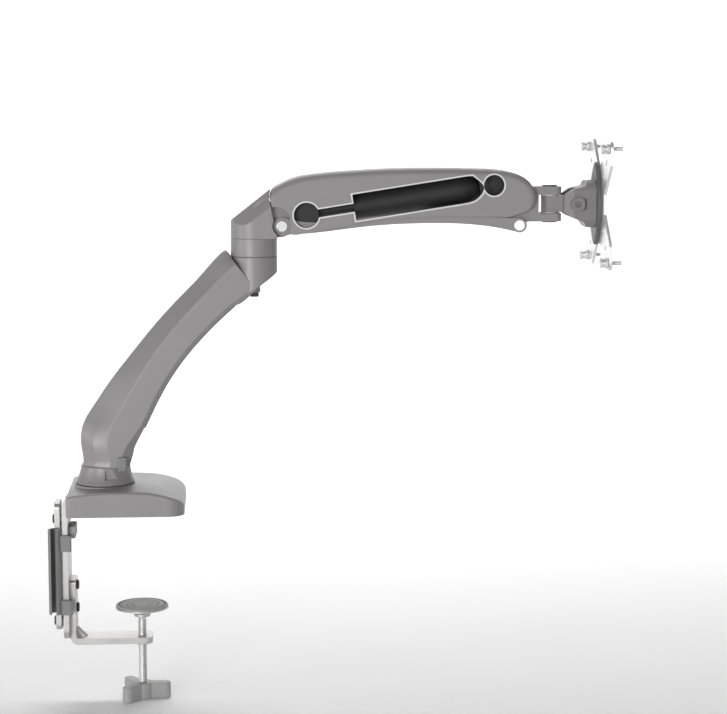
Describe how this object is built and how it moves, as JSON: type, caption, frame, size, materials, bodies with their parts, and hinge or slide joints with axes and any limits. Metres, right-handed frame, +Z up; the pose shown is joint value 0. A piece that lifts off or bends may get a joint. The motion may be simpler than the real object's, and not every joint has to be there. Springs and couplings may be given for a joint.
{
  "type": "desk clamp monitor arm",
  "caption": "Desk-clamp monitor arm: swivel base, cast lower arm, gas-spring parallel-link upper arm, and a pan, tilt and rotate head with a square plate for a display.",
  "frame": {"origin": "point on the desk surface under the base, on the axis of the base swivel", "axes": "+Z up, +X from the desk clamp towards the display, +Y across the arm"},
  "size_m": [0.5081, 0.114, 0.5075],
  "materials": {
    "cast_grey": "satin paint on cast aluminium",
    "dark_cast": "satin dark paint on cast aluminium",
    "dark_plastic": "moulded plastic, fine grain",
    "black_plate": "dark powder coat",
    "clamp_steel": "zinc plated pressed steel",
    "bright_steel": "bright plated steel",
    "dark_screws": "black oxide steel",
    "black_spring": "black paint",
    "light_trim": "light grey moulded trim",
    "rubber": "matt rubber and foam",
    "bush_plastic": "acetal"
  },
  "bodies": {
    "base": {"base_housing": "cast_grey", "base_plate": "dark_screws", "base_foam_pad": "rubber", "post_screws": "dark_screws", "housing_screws": "dark_screws", "swivel_post": "bright_steel", "swivel_washer": "dark_screws", "swivel_bolt": "dark_screws", "clamp_upright": "clamp_steel", "clamp_rail": "clamp_steel", "rail_spacers": "clamp_steel", "rail_screws": "dark_screws", "jaw_screws": "dark_screws", "clamp_jaw": "clamp_steel", "jaw_nut": "clamp_steel", "edge_bumper": "rubber", "cable_holder": "dark_plastic", "cable_holder_clips": "dark_plastic"},
    "clamp_foot": {"clamp_pad": "clamp_steel", "pad_rubber": "rubber"},
    "clamp_screw": {"clamp_screw": "bright_steel", "clamp_knob": "dark_plastic"},
    "lower_arm": {"lower_arm": "cast_grey", "lower_arm_cable_cover": "dark_plastic", "swivel_collar": "cast_grey", "cable_exit_clip": "dark_plastic", "swivel_bushes": "bush_plastic", "elbow_bushes": "bush_plastic"},
    "elbow": {"elbow_bracket": "cast_grey", "elbow_post": "bright_steel", "elbow_ring": "cast_grey", "elbow_bolt": "dark_screws", "spring_anchor_pin": "black_spring"},
    "upper_arm": {"upper_arm_shell": "cast_grey", "window_rim": "light_trim", "spring_mount_pin": "black_spring", "rear_upper_pin": "bright_steel", "front_upper_pin": "bright_steel"},
    "lower_link": {"lower_link": "cast_grey", "rear_lower_pin": "bright_steel", "front_lower_pin": "bright_steel"},
    "gas_cylinder": {"gas_spring_cylinder": "black_spring", "gas_spring_tail_eye": "black_spring", "gas_spring_gland": "black_spring"},
    "gas_rod": {"gas_spring_rod": "black_spring", "gas_spring_piston": "black_spring", "gas_spring_rod_eye": "black_spring"},
    "front_bracket": {"front_bracket": "cast_grey", "pan_bolt": "dark_screws", "pan_washers": "bush_plastic"},
    "pan_head": {"pan_block": "dark_cast"},
    "tilt_head": {"tilt_head": "dark_cast", "tilt_bolt": "bright_steel", "tilt_nut": "bright_steel"},
    "vesa_head": {"rotate_plate": "black_plate", "rotate_bolt": "dark_screws", "vesa_plate": "bright_steel", "vesa_thumbscrews": "bright_steel"}
  },
  "joints": [
    {"name": "base_swivel", "type": "hinge", "parent": "base", "child": "lower_arm", "pos_m": [0, 0, 0.04], "axis": [0, 0, 1], "range_deg": [-180, 180]},
    {"name": "elbow_swivel", "type": "hinge", "parent": "lower_arm", "child": "elbow", "pos_m": [0.1355, 0, 0.2264], "axis": [0, 0, 1], "range_deg": [-165, 165]},
    {"name": "lift", "type": "hinge", "parent": "elbow", "child": "upper_arm", "pos_m": [0.166, 0, 0.278], "axis": [0, -1, 0], "range_deg": [-28, 28]},
    {"name": "link_swing", "type": "hinge", "parent": "elbow", "child": "lower_link", "pos_m": [0.16, 0, 0.254], "axis": [0, -1, 0], "range_deg": [-29, 29]},
    {"name": "front_level", "type": "hinge", "parent": "upper_arm", "child": "front_bracket", "pos_m": [0.378, 0, 0.278], "axis": [0, -1, 0], "range_deg": [-29, 29]},
    {"name": "spring_swing", "type": "hinge", "parent": "upper_arm", "child": "gas_cylinder", "pos_m": [0.3484, 0, 0.2898], "axis": [0, -1, 0], "range_deg": [-4, 4]},
    {"name": "spring_stroke", "type": "slide", "parent": "gas_cylinder", "child": "gas_rod", "axis": [-0.9881, 0, -0.1541], "range_m": [-0.009, 0.009]},
    {"name": "head_pan", "type": "hinge", "parent": "front_bracket", "child": "pan_head", "pos_m": [0.401, 0, 0.2725], "axis": [0, 0, 1], "range_deg": [-70, 70]},
    {"name": "head_tilt", "type": "hinge", "parent": "pan_head", "child": "tilt_head", "pos_m": [0.424, 0, 0.2725], "axis": [0, -1, 0], "range_deg": [-40, 40]},
    {"name": "vesa_rotate", "type": "hinge", "parent": "tilt_head", "child": "vesa_head", "pos_m": [0.441, 0, 0.2725], "axis": [1, 0, 0], "range_deg": [-90, 90]},
    {"name": "clamp_travel", "type": "slide", "parent": "base", "child": "clamp_foot", "axis": [0, 0, 1], "range_m": [-0.015, 0.03375]},
    {"name": "clamp_turn", "type": "hinge", "parent": "clamp_foot", "child": "clamp_screw", "pos_m": [0.0315, 0, -0.0986], "axis": [0, 0, 1], "range_deg": [-4500, 9900]}
  ],
  "couplings": [
    {"joint": "link_swing", "follows": "lift", "ratio": 1},
    {"joint": "front_level", "follows": "lift", "ratio": -1},
    {"joint": "spring_swing", "follows": "lift", "ratio": 0.074},
    {"joint": "spring_stroke", "follows": "lift", "m_per_rad": 0.0154},
    {"joint": "clamp_turn", "follows": "clamp_travel", "rad_per_m": 5026.5}
  ]
}
